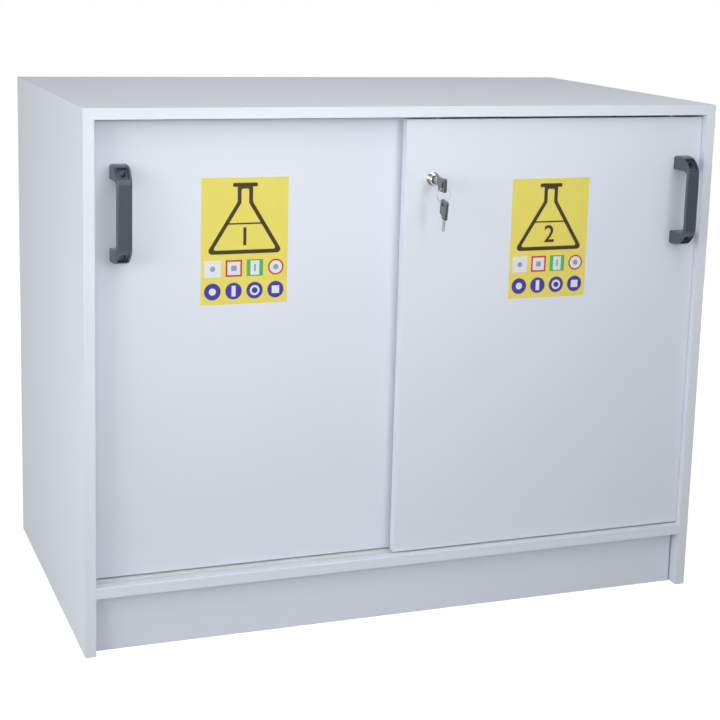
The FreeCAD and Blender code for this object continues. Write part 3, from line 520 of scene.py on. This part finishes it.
def plate(name, loops, layer, material, side):
    """A thin printed shape on a door's label. Loops are outlines, and a loop within a loop is a hole."""
    data = bpy.data.curves.new(name, "CURVE")
    data.dimensions = "2D"
    data.fill_mode = "BOTH"
    data.extrude = INK * MM / 2
    for loop in loops:
        spline = data.splines.new("POLY")
        spline.points.add(len(loop) - 1)
        spline.use_cyclic_u = True
        for point, (x, y) in zip(spline.points, loop):
            point.co = (x * MM, y * MM, 0.0, 1.0)
    return lay_on_label(name, data, layer, material, side)


def numeral(name, text, centre, layer, material, side):
    """A compartment's number on its door's label."""
    data = bpy.data.curves.new(name, "FONT")
    data.body = text
    data.size = NUMBER_HEIGHT * MM
    data.align_x = "CENTER"
    data.align_y = "CENTER"
    data.extrude = INK * MM / 2
    data.offset = NUMBER_HEIGHT * MM * NUMBER_BOLDNESS
    return lay_on_label(name, data, layer, material, side, centre)


def lay_on_label(name, data, layer, material, side, centre=(0.0, 0.0)):
    """Turns a flat curve or text upright and puts it on the label's face, where it rides on the door."""
    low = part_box(side + "_label")[0]
    depth = low.y - (layer - 0.5) * INK * MM
    place = Matrix.Translation((low.x + centre[0] * MM, depth, low.z + centre[1] * MM))
    piece = meshed(name, data, place @ Matrix.Rotation(math.pi / 2, 4, "X"))
    piece.data.materials.append(material)
    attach(piece, side + "_door")
    return piece


def print_label(side, text):
    """A generic index label: a flask with the compartment's number over a row of tiles and a row of discs."""
    low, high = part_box(side + "_label")
    middle = (high.x - low.x) / MM / 2
    columns = [middle + (number - (COLUMNS - 1) / 2) * COLUMN_PITCH for number in range(COLUMNS)]
    level = rectangle((middle, LEVEL), LEVEL_WIDTH, LEVEL_THICKNESS)
    rim = rounded(rectangle((middle, FLASK_TOP), RIM_WIDTH, STROKE), STROKE / 3)
    plate(side + "_label_flask", stroke(flask(middle), FLASK_CORNER), 1, INKS["dark"], side)
    plate(side + "_label_flask_rim", [rim], 2, INKS["dark"], side)
    plate(side + "_label_level", [level], 1, INKS["dark"], side)
    numeral(side + "_label_number", text, (middle, NUMBER_MIDDLE), 1, INKS["dark"], side)

    in_tiles = [(x, TILE_ROW) for x in columns]
    in_discs = [(x, DISC_ROW) for x in columns]
    red_disc = circle(in_tiles[3], TILE / 2 - DISC_EDGE)
    tiles = [rounded(rectangle(centre, TILE, TILE), TILE_CORNER) for centre in in_tiles[:3]]
    plate(side + "_label_grey_tile", [tiles[0]], 1, INKS["white"], side)
    plate(side + "_label_red_tile", [tiles[1]], 1, INKS["red"], side)
    plate(side + "_label_green_tile", [tiles[2]], 1, INKS["green"], side)
    plate(side + "_label_red_disc", [red_disc], 1, INKS["red"], side)
    plate(side + "_label_discs", [circle(centre, TILE / 2) for centre in in_discs], 1, INKS["blue"], side)

    whites = [rectangle(in_tiles[1], *RED_WINDOW), rectangle(in_tiles[2], *GREEN_WINDOW),
              circle(in_tiles[3], TILE / 2 - DISC_RIM), circle(in_discs[0], WHITE_DOT),
              rectangle(in_discs[1], *WHITE_BAR), circle(in_discs[2], WHITE_RING[0]),
              circle(in_discs[2], WHITE_RING[1]), rectangle(in_discs[3], *WHITE_SQUARE)]
    plate(side + "_label_white_marks", whites, 2, INKS["white"], side)
    greys = [circle(in_tiles[0], GREY_DOT), rectangle(in_tiles[1], *GREY_SQUARE),
             rectangle(in_tiles[2], *GREY_BAR), circle(in_tiles[3], GREY_DOT)]
    plate(side + "_label_grey_marks", greys, 3, INKS["grey"], side)


# Surroundings


class Surroundings:
    """The nodes of the floor and the world, which differ to the camera, in reflections and as light."""

    def __init__(self, tree):
        self.tree = tree
        path = tree.nodes.new("ShaderNodeLightPath")
        self.camera = path.outputs["Is Camera Ray"]
        glossy, through = path.outputs["Is Glossy Ray"], path.outputs["Is Transmission Ray"]
        self.reflection = self.math("MAXIMUM", glossy, through)

    def plug(self, socket, value):
        if isinstance(value, (int, float)):
            socket.default_value = value
        else:
            self.tree.links.new(value, socket)

    def math(self, operation, first, second):
        node = self.tree.nodes.new("ShaderNodeMath")
        node.operation = operation
        self.plug(node.inputs[0], first)
        self.plug(node.inputs[1], second)
        return node.outputs["Value"]

    def ramp(self, source, start, end, first, last):
        node = self.tree.nodes.new("ShaderNodeMapRange")
        for name, value in (("From Min", start), ("From Max", end), ("To Min", first), ("To Max", last)):
            self.plug(node.inputs[name], value)
        self.tree.links.new(source, node.inputs["Value"])
        return node.outputs["Result"]

    def separate(self, vector):
        node = self.tree.nodes.new("ShaderNodeSeparateXYZ")
        self.tree.links.new(vector, node.inputs["Vector"])
        return node.outputs

    def chosen(self, as_light, in_reflections, to_camera):
        """One value for each kind of ray."""
        indirect = self.ramp(self.reflection, 0.0, 1.0, as_light, in_reflections)
        return self.ramp(self.camera, 0.0, 1.0, indirect, to_camera)


def make_floor():
    """A plain floor that looks white to the camera and keeps the part's shadow."""
    mesh = bpy.data.meshes.new("floor")
    outline = [(x, y, 0) for x, y in rectangle((0, 0), 2 * FLOOR_HALF, 2 * FLOOR_HALF)]
    mesh.from_pydata(outline, [], [tuple(range(len(outline)))])
    floor = bpy.data.objects.new("floor", mesh)
    bpy.context.scene.collection.objects.link(floor)
    material = bpy.data.materials.new("floor")
    material.use_nodes = True
    tree = material.node_tree
    surface = tree.nodes["Principled BSDF"]
    surface.inputs["Base Color"].default_value = (FLOOR_ALBEDO, FLOOR_ALBEDO, FLOOR_ALBEDO, 1.0)
    surface.inputs["Roughness"].default_value = 1.0
    surface.inputs["Specular IOR Level"].default_value = 0.0
    surface.inputs["Emission Color"].default_value = (1.0, 1.0, 1.0, 1.0)
    around = Surroundings(tree)
    place = around.separate(tree.nodes.new("ShaderNodeTexCoord").outputs["Object"])
    reflected = around.ramp(place["Y"], *FLOOR_FRONT)
    tree.links.new(around.chosen(0.0, reflected, FLOOR_LIFT), surface.inputs["Emission Strength"])
    mesh.materials.append(material)


def make_world():
    """White where the camera sees it. As a light and in reflections it is darker overhead, like a studio."""
    world = bpy.data.worlds.new("world")
    bpy.context.scene.world = world
    world.use_nodes = True
    tree = world.node_tree
    background = tree.nodes["Background"]
    background.inputs["Color"].default_value = (1.0, 1.0, 1.0, 1.0)
    around = Surroundings(tree)
    direction = around.separate(tree.nodes.new("ShaderNodeTexCoord").outputs["Generated"])
    rise = around.ramp(direction["Z"], *CEILING)
    reflected = around.math("MULTIPLY", rise, around.ramp(direction["Y"], *FRONT_SIDE))
    light = around.math("MULTIPLY", rise, AMBIENT)
    tree.links.new(around.chosen(light, reflected, 1.0), background.inputs["Strength"])


def make_lamps():
    for name, (place, aim, size, spread, watts) in LAMPS.items():
        data = bpy.data.lights.new(name, "AREA")
        data.size = size
        data.spread = math.radians(spread)
        data.energy = watts
        data.color = LAMP_COLOUR
        lamp = bpy.data.objects.new(name, data)
        lamp.location = place
        lamp.rotation_euler = (Vector(aim) - Vector(place)).to_track_quat("-Z", "Y").to_euler()
        bpy.context.scene.collection.objects.link(lamp)


def make_camera():
    data = bpy.data.cameras.new("camera")
    data.sensor_width = SENSOR
    data.lens = FOCAL_PIXELS / PHOTO_SIZE * SENSOR
    data.shift_x = 0.5 - PRINCIPAL_POINT[0] / PHOTO_SIZE
    data.shift_y = PRINCIPAL_POINT[1] / PHOTO_SIZE - 0.5
    data.clip_end = FAR
    camera = bpy.data.objects.new("camera", data)
    camera.location = CAMERA_PLACE
    camera.rotation_euler = [math.radians(angle) for angle in CAMERA_TURN]
    bpy.context.scene.collection.objects.link(camera)
    bpy.context.scene.camera = camera


dress_nodes()
ease(BANDS, BAND_EASE)
ease(HANDLES, HANDLE_EASE)
make_spring()
print_label("left", "1")
print_label("right", "2")
make_floor()
make_world()
make_lamps()
make_camera()

scene = bpy.context.scene
scene.view_settings.view_transform = "Standard"
